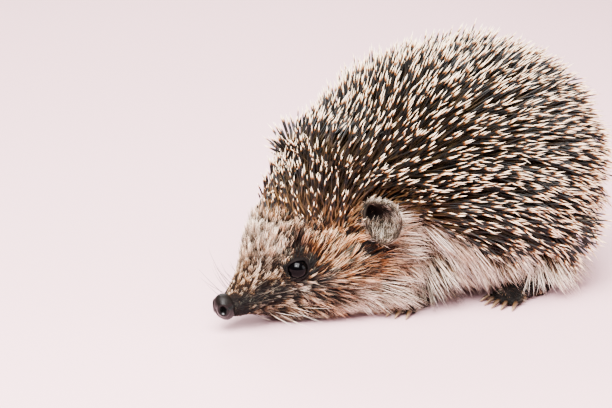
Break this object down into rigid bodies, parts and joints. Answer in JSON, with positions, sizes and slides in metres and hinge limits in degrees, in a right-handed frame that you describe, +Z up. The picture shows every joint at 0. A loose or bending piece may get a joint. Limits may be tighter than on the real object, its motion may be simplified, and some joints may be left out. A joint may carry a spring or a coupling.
{
  "type": "hedgehog",
  "caption": "Still, life-size hedgehog on all fours with its nose to the ground: spined back, furred face, throat and flanks.",
  "frame": {"origin": "on the ground, under the middle of the animal's box", "axes": "+Z up, head towards -X, tail towards +X, the animal's left side towards -Y"},
  "size_m": [0.1654, 0.1006, 0.092],
  "materials": {
    "spines": "smooth keratin spines, cream at tip and base with a dark brown band",
    "fur": "coarse pale fur",
    "face": "short tan and grey-brown fur",
    "ear": "thin, finely haired dark skin",
    "bare_skin": "dark brown skin with sparse short hair",
    "nose": "moist black skin, fine grain",
    "eye": "wet, glossy black"
  },
  "bodies": {
    "root": {"crown": "spines", "shoulders": "spines", "back": "spines", "rump": "spines", "belly": "fur", "nose": "nose", "eye_left": "eye", "eye_right": "eye", "ear_left": "ear", "ear_right": "ear", "muzzle": "face", "lower_jaw": "face", "head": "face", "neck": "fur", "forefoot_left": "bare_skin", "forefoot_right": "bare_skin", "foreleg_left": "bare_skin", "foreleg_right": "bare_skin", "hindfoot_left": "bare_skin", "hindfoot_right": "bare_skin", "hindleg_left": "bare_skin", "hindleg_right": "bare_skin", "tail": "bare_skin"}
  },
  "joints": []
}
